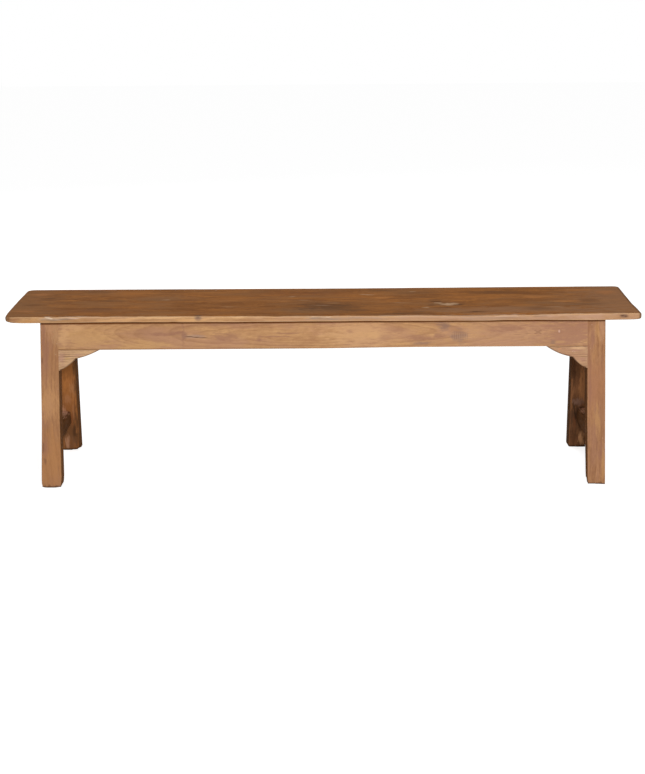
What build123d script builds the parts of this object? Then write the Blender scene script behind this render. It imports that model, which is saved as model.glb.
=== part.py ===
from build123d import *
import os
from math import atan2, cos, sin, tan

# A long rustic bench of teak, pegged together, with raked legs under a single plank.
# X runs along its length, Y from front to back and Z up, in millimetres.
# The origin lies on the floor below the middle of the seat, and the front faces -Y.

# Seat plank
seat_length = 1630
seat_width = 350
seat_height = 450
seat_thickness = 17
seat_top_rounding = 3
seat_bottom_rounding = 1.5
# Plan radius of each corner, which hand work left unlike
front_left_corner = 26
front_right_corner = 13
back_left_corner = 21
back_right_corner = 17
# The left end bows outward, and the right end was sawn in two passes that meet in a dent
left_end_bow = 1.5
right_end_dent = 4
right_end_meeting_share = 0.37

# Legs: square stock, raked to front and back only
leg_width = 47
leg_depth = 46
leg_arris = 1.2
# The plank overhangs the legs, and each foot stands out from the top of its leg
end_overhang = 87.5
edge_overhang = 39
foot_spread = 51

# Aprons between the legs, flush with their outer faces
apron_height = 76
apron_thickness = 22
apron_tenon_thickness = 10
apron_tenon_length = 30

# End rails under the seat, and stretchers near the floor, from front leg to back leg
rail_thickness = 22
rail_inset = 2.5
stretcher_thickness = 25
stretcher_height = 36
stretcher_bottom = 81.5
stretcher_shoulder = 6
stretcher_tenon_length = 26

# Tenons, in the aprons, the rails and the stretchers
tenon_top_shoulder = 12
tenon_bottom_shoulder = 8
tenon_land = 5
tenon_clearance = 0.2

# Pegs, driven from the hidden faces of the legs and stopped short of the faces that show
peg_diameter = 8
peg_cover = 4
peg_clearance = 0.1
apron_peg_place_share = 0.4
apron_peg_height_shares = (0.22, 0.78)

# Scalloped brackets below the aprons, sawn by eye and so unlike
bracket_length = 105
left_bracket_drop = 53.5
right_bracket_drop = 57
# Start at the leg, round lobe, its end, short step, flat lobe and toe,
# as shares of the length from the leg and of the drop below the apron
left_bracket_shares = ((0, 1), (0.23, 0.76), (0.41, 0.42), (0.45, 0.41), (0.71, 0.26), (1, 0))
right_bracket_shares = ((0, 1), (0.19, 0.82), (0.335, 0.52), (0.42, 0.47), (0.75, 0.27), (1, 0))
dowel_diameter = 6
dowel_reach_up = 18
dowel_reach_down = 12
dowel_place_shares = (0.15, 0.4)

# Battens under the plank, housed in the aprons
batten_width = 45
batten_thickness = 22
batten_spacing = 350
batten_housing = 6

# Countersunk screws that hold the plank from below
screw_diameter = 4.5
screw_head_diameter = 9
screw_point = 5
screw_bite = 10
screw_clearance = 0.1
screw_slot_width = 1.2
screw_slot_depth = 1.4
batten_screw_spacing = 65
rail_screw_spacing = 90
rail_counterbore_diameter = 12
rail_screw_web = 26

# Every cut runs this far past the face that it opens, and leaves this room at a blind end
overrun = 2
blind_gap = 1

underside = seat_height - seat_thickness
stance_at_top = seat_width - 2 * edge_overhang
rake = atan2(foot_spread, underside)
leg_outer = seat_length / 2 - end_overhang
leg_inner = leg_outer - leg_width
# The rails are as deep as the aprons, whose height is measured along the raked face
rail_bottom = underside - apron_height * cos(rake)
batten_places = (-batten_spacing, 0, batten_spacing)
left, right = -1, 1

# Outer face of the front legs and front apron: X along it, Y into the wood, Z up the rake
face_plane = Plane(
    origin=(0, -stance_at_top / 2, underside),
    x_dir=(1, 0, 0),
    z_dir=(0, sin(rake), cos(rake)),
)


def block(plane, x_limits, y_limits, z_limits):
    """A box between limits that are given in the plane's own directions."""
    limits = (x_limits, y_limits, z_limits)
    size = [max(pair) - min(pair) for pair in limits]
    middle = [sum(pair) / 2 for pair in limits]
    return plane.location * Pos(*middle) * Box(*size)


def under_seat(shape):
    """The shape cut flat on the floor and under the seat."""
    slab = block(Plane.XY, (-seat_length, seat_length), (-seat_length, seat_length), (0, underside))
    return shape & slab


def depth_at(height, from_face):
    """How far from the middle a raked plane lies at a height, this deep behind the outer faces."""
    outer = stance_at_top / 2 + (underside - height) * tan(rake)
    return outer - from_face / cos(rake)


def crosspiece(x_limits, low, high, from_face, reach):
    """A board from front to back that reaches past the raked planes this deep in the legs."""
    front = [(-depth_at(z, from_face) - reach, z) for z in (low, high)]
    back = [(depth_at(z, from_face) + reach, z) for z in (high, low)]
    outline = Plane.YZ * make_face(Polyline(*front, *back, close=True))
    board = extrude(outline, max(x_limits) - min(x_limits))
    return Pos(min(x_limits), 0, 0) * board


def rod(plane, start, end, radius, start_gap=0, end_gap=0):
    """A round rod between two points given in the plane's own directions."""
    line = Vector(*end) - Vector(*start)
    begin = Vector(*start) - line.normalized() * start_gap
    length = line.length + start_gap + end_gap
    bar = Cylinder(radius, length, align=(Align.CENTER, Align.CENTER, Align.MIN))
    return plane.location * Plane(origin=begin, z_dir=line).location * bar


def turned(shape):
    """The same piece at the other side and the other end of the bench."""
    return Rot(0, 0, 180) * shape


# Lines along which the pegs are driven, from the blind end to the open one


def apron_peg_lines(side):
    """Two pegs through each apron tenon, driven from behind the leg."""
    x = side * (leg_inner + apron_tenon_length * apron_peg_place_share)
    top = -tenon_top_shoulder
    drop = apron_height - tenon_top_shoulder - tenon_bottom_shoulder
    heights = [top - drop * share for share in apron_peg_height_shares]
    return [((x, peg_cover, z), (x, leg_depth, z)) for z in heights]


def rail_peg_line(side):
    """One peg through each rail tenon, level between the two apron pegs."""
    z = -(apron_height + tenon_top_shoulder - tenon_bottom_shoulder) / 2
    y = leg_depth - rail_reach() / 2
    return (side * (leg_outer - peg_cover), y, z), (side * leg_inner, y, z)


def stretcher_peg_line(side):
    """One peg through each stretcher tenon."""
    z = stretcher_bottom + stretcher_height / 2
    y = -depth_at(z, leg_depth) - stretcher_tenon_length / 2
    return (side * (leg_outer - peg_cover), y, z), (side * leg_inner, y, z)


def peg(plane, line):
    return rod(plane, *line, peg_diameter / 2)


def peg_hole(plane, line):
    return rod(plane, *line, peg_diameter / 2 + peg_clearance, blind_gap, overrun)


# Tenons, and with an allowance their mortises


def rail_reach():
    """A rail tenon stops short of the apron tenon that enters the same leg."""
    apron_tenon_back = (apron_thickness + apron_tenon_thickness) / 2
    return leg_depth - apron_tenon_back - tenon_land


def apron_tenon(side, allowance=0, end_gap=0):
    end = leg_inner + apron_tenon_length + end_gap
    middle = apron_thickness / 2
    half = apron_tenon_thickness / 2 + allowance
    top = allowance - tenon_top_shoulder
    bottom = tenon_bottom_shoulder - apron_height - allowance
    x_limits = (side * (leg_inner - allowance), side * end)
    return block(face_plane, x_limits, (middle - half, middle + half), (bottom, top))


def rail_limits(side, thickness):
    """Where a rail or a stretcher lies along the bench, near the outer faces of the legs."""
    outer = leg_outer - rail_inset
    return side * (outer - thickness), side * outer


def middle_third(limits, allowance=0):
    """The tenon's share of a board's thickness."""
    middle = sum(limits) / 2
    half = abs(limits[1] - limits[0]) / 6 + allowance
    return middle - half, middle + half


def rail_tenons(side, allowance=0, end_gap=0):
    x_limits = middle_third(rail_limits(side, rail_thickness), allowance)
    low = rail_bottom + tenon_bottom_shoulder - allowance
    high = underside - tenon_top_shoulder + allowance
    return crosspiece(x_limits, low, high, leg_depth, rail_reach() + end_gap)


def stretcher_tenons(side, allowance=0, end_gap=0):
    x_limits = middle_third(rail_limits(side, stretcher_thickness), allowance)
    low = stretcher_bottom + stretcher_shoulder - allowance
    high = stretcher_bottom + stretcher_height - stretcher_shoulder + allowance
    return crosspiece(x_limits, low, high, leg_depth, stretcher_tenon_length + end_gap)


# Screws


def screw_body(length, allowance=0):
    """A countersunk screw with its head down and its point up."""
    head = screw_head_diameter / 2 + allowance
    shank = screw_diameter / 2 + allowance
    outline = Polyline(
        (0, 0),
        (head, 0),
        (shank, head - shank),
        (shank, length - screw_point),
        (0, length + allowance),
        close=True,
    )
    return revolve(Plane.XZ * make_face(outline), Axis.Z)


def screw(place, length):
    slot = Box(screw_head_diameter, screw_slot_width, 2 * screw_slot_depth)
    return Pos(*place) * (screw_body(length) - slot)


def screw_hole(place, length):
    return Pos(*place) * screw_body(length, screw_clearance)


def batten_screws(x):
    """Head and length of the three screws in the batten at x."""
    z = underside - batten_thickness
    places = [(x, step * batten_screw_spacing, z) for step in (-1, 0, 1)]
    return [(place, batten_thickness + screw_bite) for place in places]


def rail_screws(side):
    """Head and length of the two screws that stand in counterbores in a rail."""
    x = sum(rail_limits(side, rail_thickness)) / 2
    z = underside - rail_screw_web
    places = [(x, half * rail_screw_spacing / 2, z) for half in (-1, 1)]
    return [(place, rail_screw_web + screw_bite) for place in places]


def all_screws():
    groups = [batten_screws(x) for x in batten_places]
    groups += [rail_screws(side) for side in (left, right)]
    return [one for group in groups for one in group]


# The pieces


def seat_outline():
    """The plank in plan, with its bowed left end, its dented right end and unlike corners."""
    x = seat_length / 2
    y = seat_width / 2
    left_corner = left_end_bow - x
    meeting = (x - right_end_dent, right_end_meeting_share * seat_width - y)
    edges = Curve() + [
        Polyline((left_corner, -y), (x, -y), meeting, (x, y), (left_corner, y)),
        ThreePointArc((left_corner, y), (-x, 0), (left_corner, -y)),
    ]
    corners = (
        ((left_corner, -y), front_left_corner),
        ((x, -y), front_right_corner),
        ((left_corner, y), back_left_corner),
        ((x, y), back_right_corner),
    )
    outline = make_face(edges).face()
    for corner, radius in corners:
        nearest = outline.vertices().sort_by_distance((*corner, 0))[0]
        outline = outline.fillet_2d(radius, [nearest])
    return outline


def seat_plank():
    plank = Pos(0, 0, underside) * extrude(seat_outline(), seat_thickness)
    plank = fillet(plank.faces().sort_by(Axis.Z)[-1].edges(), seat_top_rounding)
    plank = fillet(plank.faces().sort_by(Axis.Z)[0].edges(), seat_bottom_rounding)
    for place, length in all_screws():
        plank -= screw_hole(place, length)
    return plank


def front_leg(side):
    """A square stick along the rake, mortised for its apron, rail and stretcher."""
    run = underside / cos(rake) + leg_depth
    stick = block(Plane.XY, (side * leg_inner, side * leg_outer), (0, leg_depth), (-run, leg_depth))
    stick = fillet(stick.edges().filter_by(Axis.Z), leg_arris)
    leg = under_seat(face_plane.location * stick)
    leg -= apron_tenon(side, tenon_clearance, blind_gap)
    leg -= rail_tenons(side, tenon_clearance, blind_gap)
    leg -= stretcher_tenons(side, tenon_clearance, blind_gap)
    for line in apron_peg_lines(side):
        leg -= peg_hole(face_plane, line)
    leg -= peg_hole(face_plane, rail_peg_line(side))
    leg -= peg_hole(Plane.XY, stretcher_peg_line(side))
    return leg


def batten_blank(x, allowance=0, end_gap=0):
    half = batten_width / 2 + allowance
    low = underside - batten_thickness
    reach = batten_housing + end_gap
    return crosspiece((x - half, x + half), low, underside, apron_thickness, reach)


def front_apron():
    """A board with a tenon at each end, housed for the battens and drilled for the brackets."""
    board = block(
        face_plane, (-leg_inner, leg_inner), (0, apron_thickness), (-apron_height, apron_thickness)
    )
    apron = under_seat(board)
    for side in (left, right):
        apron += apron_tenon(side)
        for line in apron_peg_lines(side):
            apron -= peg_hole(face_plane, line)
        for line in dowel_lines(side):
            apron -= dowel_hole(line)
    for x in batten_places:
        apron -= batten_blank(x, tenon_clearance, blind_gap)
    return apron


def end_rail(side):
    x_limits = rail_limits(side, rail_thickness)
    rail = crosspiece(x_limits, rail_bottom, underside, leg_depth, 0) + rail_tenons(side)
    rail -= peg_hole(face_plane, rail_peg_line(side))
    rail -= turned(peg_hole(face_plane, rail_peg_line(-side)))
    for (x, y, z), length in rail_screws(side):
        rail -= screw_hole((x, y, z), length)
        rail -= rod(Plane.XY, (x, y, z), (x, y, rail_bottom), rail_counterbore_diameter / 2, 0, overrun)
    return rail


def stretcher(side):
    x_limits = rail_limits(side, stretcher_thickness)
    top = stretcher_bottom + stretcher_height
    bar = crosspiece(x_limits, stretcher_bottom, top, leg_depth, 0) + stretcher_tenons(side)
    bar -= peg_hole(Plane.XY, stretcher_peg_line(side))
    bar -= turned(peg_hole(Plane.XY, stretcher_peg_line(-side)))
    return bar


def bracket(side):
    """A board with two lobes sawn in its lower edge, against the leg and the apron."""
    shares = left_bracket_shares if side == left else right_bracket_shares
    drop = left_bracket_drop if side == left else right_bracket_drop
    points = [
        (side * (leg_inner - along * bracket_length), -apron_height - down * drop)
        for along, down in shares
    ]
    leg_end, lobe, lobe_end, step_end, flat_lobe, toe = points
    edges = Curve() + [
        ThreePointArc(leg_end, lobe, lobe_end),
        Line(lobe_end, step_end),
        ThreePointArc(step_end, flat_lobe, toe),
        Polyline(toe, (leg_end[0], -apron_height), leg_end),
    ]
    # The sketch stands in the raked face, so it is drawn in XZ and then laid on that plane
    outline = Plane.XZ * make_face(edges).face()
    board = extrude(outline, apron_thickness, dir=(0, 1, 0))
    piece = face_plane.location * board
    for line in dowel_lines(side):
        piece -= dowel_hole(line)
    return piece


def dowel_lines(side):
    """Two dowels from each bracket up into the apron."""
    y = apron_thickness / 2
    low = -apron_height - dowel_reach_down
    high = dowel_reach_up - apron_height
    places = [side * (leg_inner - share * bracket_length) for share in dowel_place_shares]
    return [((x, y, low), (x, y, high)) for x in places]


def dowel_hole(line):
    return rod(face_plane, *line, dowel_diameter / 2 + peg_clearance, blind_gap, blind_gap)


def batten(x):
    piece = batten_blank(x)
    for place, length in batten_screws(x):
        piece -= screw_hole(place, length)
    return piece


def bench():
    """Every piece by its name, with like fasteners in one group."""
    pieces = {"seat_plank": seat_plank()}
    apron = front_apron()
    pieces["front_apron"] = apron
    pieces["back_apron"] = turned(apron)
    apron_pegs = [peg(face_plane, line) for side in (left, right) for line in apron_peg_lines(side)]
    pieces["front_apron_pegs"] = apron_pegs
    pieces["back_apron_pegs"] = [turned(one) for one in apron_pegs]
    for side, name, opposite in ((left, "left", "right"), (right, "right", "left")):
        leg = front_leg(side)
        pieces[f"front_{name}_leg"] = leg
        pieces[f"back_{opposite}_leg"] = turned(leg)
        support = bracket(side)
        pieces[f"front_{name}_bracket"] = support
        pieces[f"back_{opposite}_bracket"] = turned(support)
        dowels = [rod(face_plane, *line, dowel_diameter / 2) for line in dowel_lines(side)]
        pieces[f"front_{name}_bracket_dowels"] = dowels
        pieces[f"back_{opposite}_bracket_dowels"] = [turned(one) for one in dowels]
        pieces[f"{name}_end_rail"] = end_rail(side)
        pieces[f"{name}_stretcher"] = stretcher(side)
        pieces[f"{name}_end_rail_pegs"] = [
            peg(face_plane, rail_peg_line(side)),
            turned(peg(face_plane, rail_peg_line(-side))),
        ]
        pieces[f"{name}_stretcher_pegs"] = [
            peg(Plane.XY, stretcher_peg_line(side)),
            turned(peg(Plane.XY, stretcher_peg_line(-side))),
        ]
        pieces[f"{name}_end_rail_screws"] = [screw(*one) for one in rail_screws(side)]
    for x, name in zip(batten_places, ("left", "middle", "right")):
        pieces[f"{name}_batten"] = batten(x)
        pieces[f"{name}_batten_screws"] = [screw(*one) for one in batten_screws(x)]
    return pieces


def solids_of(piece):
    members = piece if isinstance(piece, list) else [piece]
    return [solid for member in members for solid in member.solids()]


os.makedirs("parts", exist_ok=True)
for name, piece in bench().items():
    solids = solids_of(piece)
    shape = solids[0] if len(solids) == 1 else Compound(solids)
    export_step(shape, f"parts/{name}.step")
    print(name, len(solids), "solids")
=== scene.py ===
# %% [markdown]
# # A rustic bench, dressed in Blender
# The bench is one long plank on four raked legs, with aprons, scalloped brackets and low
# stretchers. Sizes and joints come from the CAD model, loaded first as a fixed frame.
# Blender adds worn edges, hand-planed faces and the figure of old teak. Lengths are in
# metres, but the tables of marks are in millimetres. X runs along the bench, Y to the back
# and Z up.

# %% Load the frame
import math
import bpy
import numpy as np
from mathutils import Matrix, Vector, noise


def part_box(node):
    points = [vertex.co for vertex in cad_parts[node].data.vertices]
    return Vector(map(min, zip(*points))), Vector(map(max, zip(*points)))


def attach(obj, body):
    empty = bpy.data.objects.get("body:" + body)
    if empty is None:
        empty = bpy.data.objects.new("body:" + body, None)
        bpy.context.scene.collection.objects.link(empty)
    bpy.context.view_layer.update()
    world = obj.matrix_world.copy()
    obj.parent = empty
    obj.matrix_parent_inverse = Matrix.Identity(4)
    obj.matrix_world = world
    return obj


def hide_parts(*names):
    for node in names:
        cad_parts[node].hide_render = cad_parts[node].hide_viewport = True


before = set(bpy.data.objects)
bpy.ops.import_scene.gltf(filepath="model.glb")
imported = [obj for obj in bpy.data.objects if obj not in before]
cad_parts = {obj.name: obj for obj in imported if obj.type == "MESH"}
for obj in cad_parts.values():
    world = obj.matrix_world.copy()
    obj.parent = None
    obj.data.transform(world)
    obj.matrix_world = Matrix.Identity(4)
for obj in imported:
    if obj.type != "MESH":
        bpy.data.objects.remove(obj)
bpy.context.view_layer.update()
print("CAD nodes:", len(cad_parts))

# %% [markdown]
# ## Sizes that the boards share
# Each board is measured from its CAD node. Only the rake is given here, because a box around a
# raked leg doesn't say how its faces lean.

# %% Measure the frame
FOOT_SPREAD = 0.051
seat_low, seat_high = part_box("seat_plank")
leg_low, leg_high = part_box("front_left_leg")
apron_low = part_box("front_apron")[0]
underside = seat_low.z
half_top = -leg_low.y - FOOT_SPREAD
rake = math.atan2(FOOT_SPREAD, underside)
leg_outer = -leg_low.x
leg_width = leg_high.x - leg_low.x
leg_inner = leg_outer - leg_width
leg_depth = (half_top + leg_high.y) * math.cos(rake)
print(f"rake {math.degrees(rake):.2f} degrees, legs {leg_width:.3f} by {leg_depth:.3f}")

# %% [markdown]
# ## Camera
# The photograph was taken from the front, a little above the seat, with a long lens. The camera
# was fitted to the bench's corners. Its axis crosses the picture above the middle, so it has a
# vertical shift.

# %% Camera
CAMERA_PLACE = Vector((0.0196, -4.1496, 1.3265))
CAMERA_PITCH = 0.1746
CAMERA_YAW = -0.0046
CAMERA_ROLL = 0.0076
PICTURE_HEIGHT = 774
FOCAL_PIXELS = 1597.8
AXIS_ROW = 247.3
SENSOR = 36.0


def add_object(name, data):
    item = bpy.data.objects.new(name, data)
    bpy.context.scene.collection.objects.link(item)
    return item


def camera_matrix():
    across, up = math.cos(CAMERA_PITCH), -math.sin(CAMERA_PITCH)
    ahead = Vector((math.sin(CAMERA_YAW) * across, math.cos(CAMERA_YAW) * across, up))
    right = Vector((math.cos(CAMERA_YAW), -math.sin(CAMERA_YAW), 0))
    down = ahead.cross(right)
    roll = Matrix.Rotation(CAMERA_ROLL, 3, ahead)
    axes = Matrix((roll @ right, roll @ -down, -ahead)).transposed()
    return Matrix.Translation(CAMERA_PLACE) @ axes.to_4x4()


camera = add_object("camera", bpy.data.cameras.new("camera"))
camera.matrix_world = camera_matrix()
camera.data.sensor_width = SENSOR
camera.data.lens = FOCAL_PIXELS * SENSOR / PICTURE_HEIGHT
camera.data.shift_y = (AXIS_ROW - PICTURE_HEIGHT / 2) / PICTURE_HEIGHT
bpy.context.scene.camera = camera
print(f"lens {camera.data.lens:.1f} mm, shift {camera.data.shift_y:.3f}")

# %% [markdown]
# ## Small helpers for shader nodes
# Each adds a node, fills its inputs and returns the socket to go on from, so that a
# material reads like the recipe of a finish.

# %% Node helpers


def put(kind, inputs, tree=None, **settings):
    """Adds a node to a tree, or else to that of the sockets it is linked to, and fills its inputs."""
    if tree is None:
        tree = next(value.id_data for value in inputs.values() if isinstance(value, bpy.types.NodeSocket))
    node = tree.nodes.new("ShaderNode" + kind)
    for name, value in settings.items():
        setattr(node, name, value)
    for name, value in inputs.items():
        if isinstance(value, bpy.types.NodeSocket):
            tree.links.new(value, node.inputs[name])
        else:
            node.inputs[name].default_value = value
    return node


def maths(operation, *values, clamp=False):
    inputs = dict(enumerate(values))
    return put("Math", inputs, operation=operation, use_clamp=clamp).outputs[0]


def times(first, second):
    return maths("MULTIPLY", first, second)


def plus(first, second, clamp=False):
    return maths("ADD", first, second, clamp=clamp)


def scaled(value, factor, offset):
    return maths("MULTIPLY_ADD", value, factor, offset)


def vectors(operation, *values):
    return put("VectorMath", dict(enumerate(values)), operation=operation).outputs[0]


def clouds(vector, scale, detail=2.0, rough=0.5, output="Fac"):
    """Noise from 0 to 1. Its scale is given along the grain and across it."""
    along, across = scale
    place = vectors("MULTIPLY", vector, (along, across, across))
    inputs = {"Vector": place, "Scale": 1.0, "Detail": detail, "Roughness": rough}
    return put("TexNoise", inputs).outputs[output]


def moved_by(vector, scale, reach, source=None):
    """The point, moved by noise up to half the reach each way. The noise may lie elsewhere."""
    noises = clouds(vector if source is None else source, scale, output="Color")
    centred = vectors("ADD", noises, (-0.5, -0.5, -0.5))
    return vectors("MULTIPLY_ADD", centred, reach, vector)


def attribute(tree, name, output):
    return put("Attribute", {}, tree, attribute_name=name).outputs[output]


def between(value, low, high, to_low=0.0, to_high=1.0):
    """A smooth step of value from low to high."""
    inputs = {"Value": value, "From Min": low, "From Max": high, "To Min": to_low, "To Max": to_high}
    return put("MapRange", inputs, interpolation_type="SMOOTHSTEP").outputs[0]


def mixed(factor, first, second, mode="MIX"):
    inputs = {0: factor, 6: first, 7: second}
    node = put("Mix", inputs, data_type="RGBA", blend_type=mode)
    return node.outputs[2]


def tone(red, green, blue, light=1.0):
    """A colour from 0 to 255, made linear, and then lighter or darker."""
    shares = [channel / 255 for channel in (red, green, blue)]
    linear = [s / 12.92 if s <= 0.04045 else ((s + 0.055) / 1.055) ** 2.4 for s in shares]
    return (*[channel * light for channel in linear], 1.0)


# %% Groups and materials
VECTOR_SOCKETS = ("Grain", "Pith", "Centre", "Reach", "Wander")
print("vector sockets:", *VECTOR_SOCKETS)


def new_group(name, inputs, outputs):
    """Makes a node group, and returns its tree, its inputs and its output node."""
    tree = bpy.data.node_groups.new(name, "ShaderNodeTree")
    for sockets, way in ((inputs, "INPUT"), (outputs, "OUTPUT")):
        for socket in sockets.split():
            kind = "Vector" if socket in VECTOR_SOCKETS else "Float"
            tree.interface.new_socket(socket, in_out=way, socket_type=f"NodeSocket{kind}")
    start = tree.nodes.new("NodeGroupInput")
    end = tree.nodes.new("NodeGroupOutput")
    return tree, start.outputs, end


def place_group(group, inputs):
    return put("Group", inputs, node_tree=group).outputs


def finish_group(end, outputs):
    tree = end.id_data
    for socket, value in outputs.items():
        tree.links.new(value, end.inputs[socket])
    print("group", tree.name, len(tree.nodes), "nodes")
    return tree


def new_material(name):
    material = bpy.data.materials.new(name)
    material.use_nodes = True
    return material, material.node_tree, material.node_tree.nodes["Principled BSDF"]


# %% [markdown]
# ## Growth rings
# A board's figure is a cut through the rings of a log, so the rings are worked out in space: the
# distance from a wandering pith, divided by the width of a ring. A board cut flat beside the pith
# shows arches on its face and lines on its edge. The sweep bends the pith away towards both ends,
# which closes the arches into long lenses.

# %% Growth rings


def make_rings_group():
    tree, given, end = new_group("growth_rings", "Grain Pith Width Sweep Wave", "Ring Band")
    bent = moved_by(given["Grain"], (2.2, 9.0), (0.0, 0.014, 0.014))
    wave = put("CombineXYZ", {1: given["Wave"], 2: given["Wave"]}).outputs[0]
    bent = moved_by(bent, (16.0, 30.0), wave, given["Grain"])
    away = vectors("SUBTRACT", bent, given["Pith"])
    part = put("SeparateXYZ", {0: away}).outputs
    along = times(part[0], part[0])
    depth = scaled(along, given["Sweep"], part[2])
    across = times(part[1], part[1])
    radius = maths("SQRT", scaled(depth, depth, across))
    radial = put("CombineXYZ", {0: radius}).outputs[0]
    uneven = clouds(radial, (90.0, 1.0), 1.0)
    count = maths("DIVIDE", radius, given["Width"])
    phase = maths("FRACT", scaled(uneven, 2.5, count))
    rise = maths("POWER", phase, 2.5)
    fall = between(phase, 0.84, 1.0, 1.0, 0.0)
    band = clouds(radial, (55.0, 1.0), 2.0)
    return finish_group(end, {"Ring": times(rise, fall), "Band": band})


rings_group = make_rings_group()

# %% [markdown]
# ## Fibres, pores and mottling
# Teak has long soft streaks, fine fibres and short dark pores, all of them noise drawn out along
# the grain. Mottling goes from light to dark over a hand's breadth, and blush from ochre to a
# rosy brown. Patches are what rubbing leaves on an old finish. The last two outputs make a mark's
# outline ragged: one breaks it up, and the other moves it.

# %% Fibres, pores and mottling


def make_fibre_group():
    outputs = "Streak Fleck Fibre Pore Mottle Patch Blush Broken Wander"
    tree, given, end = new_group("fibres", "Grain", outputs)
    grain = given["Grain"]
    elsewhere = vectors("MULTIPLY", grain, (-1.0, 1.0, 1.0))
    speck = clouds(grain, (110.0, 2200.0), 1.0)
    ragged = clouds(elsewhere, (34.0, 170.0), 4.0, 0.7)
    return finish_group(end, {
        "Streak": clouds(grain, (10.0, 120.0), 4.0, 0.65),
        "Fleck": clouds(grain, (55.0, 260.0), 3.0, 0.6),
        "Fibre": clouds(grain, (14.0, 620.0), 2.0, 0.6),
        "Pore": between(speck, 0.60, 0.72),
        "Mottle": clouds(grain, (9.0, 38.0), 5.0, 0.62),
        "Patch": clouds(grain, (75.0, 120.0), 3.0, 0.65),
        "Blush": clouds(elsewhere, (7.0, 26.0), 4.0, 0.6),
        "Broken": scaled(ragged, 2.6, -1.3),
        "Wander": moved_by(grain, (26.0, 80.0), (0.026, 0.007, 0.007), elsewhere),
    })


fibre_group = make_fibre_group()

# %% [markdown]
# ## Knots and marks
# A knot is where a branch grew: the rings bend round it, and its heart is dark. A mark is a spot
# that age has made paler, darker or greyer. Both are ovals, with an edge broken up by the same
# streaks as the wood.

# %% Knots and marks


def make_mark_group():
    tree, given, end = new_group("mark", "Grain Centre Reach Streaks", "Mask Distance")
    away = vectors("SUBTRACT", given["Grain"], given["Centre"])
    shares = vectors("DIVIDE", away, given["Reach"])
    distance = put("VectorMath", {0: shares}, operation="LENGTH").outputs["Value"]
    edge = plus(distance, given["Streaks"])
    return finish_group(end, {"Mask": between(edge, 0.25, 1.1, 1.0, 0.0), "Distance": distance})


def make_knot_group():
    tree, given, end = new_group("knot", "Grain Centre Reach Streaks", "Heart Swirl Push")
    oval = place_group(mark_group, {name: given[name] for name in ("Grain", "Centre", "Reach", "Streaks")})
    ragged = scaled(given["Streaks"], 0.5, oval["Distance"])
    heart = between(ragged, 0.15, 0.50, 1.0, 0.0)
    rings = maths("SINE", times(ragged, 15.0))
    swirl = times(oval["Mask"], scaled(rings, 0.25, 0.6))
    push = between(oval["Distance"], 0.0, 2.6, 1.0, 0.0)
    return finish_group(end, {"Heart": heart, "Swirl": swirl, "Push": push})


mark_group = make_mark_group()
knot_group = make_knot_group()

# %% [markdown]
# ## Wear along the arrises
# Hands and brooms rub a bench at its corners first. Every board carries the distance to its
# nearest arris, and the group turns it into a broken, streaky mask.

# %% Edge wear


def make_wear_group():
    tree, given, end = new_group("edge_wear", "Grain Breadth", "Rubbed")
    edge = attribute(tree, "edge", "Fac")
    patchy = clouds(given["Grain"], (16.0, 60.0), 3.0, 0.6)
    reach = times(given["Breadth"], times(patchy, 2.0))
    share = maths("DIVIDE", edge, reach)
    return finish_group(end, {"Rubbed": between(share, 0.2, 1.0, 1.0, 0.0)})


wear_group = make_wear_group()

# %% [markdown]
# ## One finish for every board
# Mottling and streaks mix two ground tones, a rosy tone comes in as clouds, and the rings draw
# their lines. Knots and marks go on top, and the arrises are rubbed pale. Boards differ in their
# tones, where the pith lay, how far along the log they were cut, and their knots and marks. A
# crisp mark has a clean outline, for dark lines, scratches and chips, and for painted shade such as
# the shadow line under the plank's overhang. A board can have other tones where its facing
# attribute is one, and on the legs these tones are painted shade on the faces that look inward.

# %% Parts of the finish
SPECULAR = 0.015
BUMP_STRENGTH = 0.35
BUMP_DEPTH = 0.0006
GLOSS_RANGE = 0.07
FACING_CONTRAST = 1.2
KNOT_HEART = (74, 52, 38)
SWIRL_STRENGTH = 0.6
PORE_STRENGTH = 0.3
WEAR_BREADTH = 0.004


def ground(tones, rings, fibres, contrast, line):
    light, middle, dark, blush = tones
    streaks = scaled(fibres["Streak"], contrast, 0.5 - contrast / 2)
    spots = scaled(fibres["Mottle"], 2.4 * contrast, -1.2 * contrast)
    flecks = scaled(fibres["Fleck"], 1.3 * contrast, -0.65 * contrast)
    spots = plus(spots, flecks)
    spots = plus(spots, scaled(fibres["Patch"], contrast, -0.5 * contrast))
    rise = scaled(rings["Ring"], 0.35, spots)
    colour = mixed(plus(streaks, rise, clamp=True), light, middle)
    colour = mixed(between(fibres["Blush"], 0.42, 0.68, 0.0, 0.75), colour, blush)
    drawn = times(rings["Ring"], between(rings["Band"], 0.35, 0.65))
    return mixed(times(drawn, line), colour, dark)


def bump_and_gloss(shader, rings, fibres, roughness):
    """Fibres and rings stand a little proud, pores are pits, and streaks vary the gloss."""
    proud = scaled(rings["Ring"], 0.35, times(fibres["Fibre"], 0.5))
    height = scaled(fibres["Pore"], -0.6, proud)
    bump = put("Bump", {"Height": height, "Strength": BUMP_STRENGTH, "Distance": BUMP_DEPTH})
    tree = shader.id_data
    tree.links.new(bump.outputs[0], shader.inputs["Normal"])
    rough = between(fibres["Streak"], 0.3, 0.7, roughness - GLOSS_RANGE, roughness + GLOSS_RANGE)
    tree.links.new(rough, shader.inputs["Roughness"])
    shader.inputs["Specular IOR Level"].default_value = SPECULAR


def painted(colour, spots, shift, given):
    """The colour with marks laid over it, one after another."""
    for centre, reach, spot_tone, strength in spots:
        spot = {**given, "Centre": Vector(centre) + shift, "Reach": reach}
        mask = place_group(mark_group, spot)["Mask"]
        colour = mixed(times(mask, strength), colour, tone(*spot_tone))
    return colour


# %% The teak material


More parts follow.
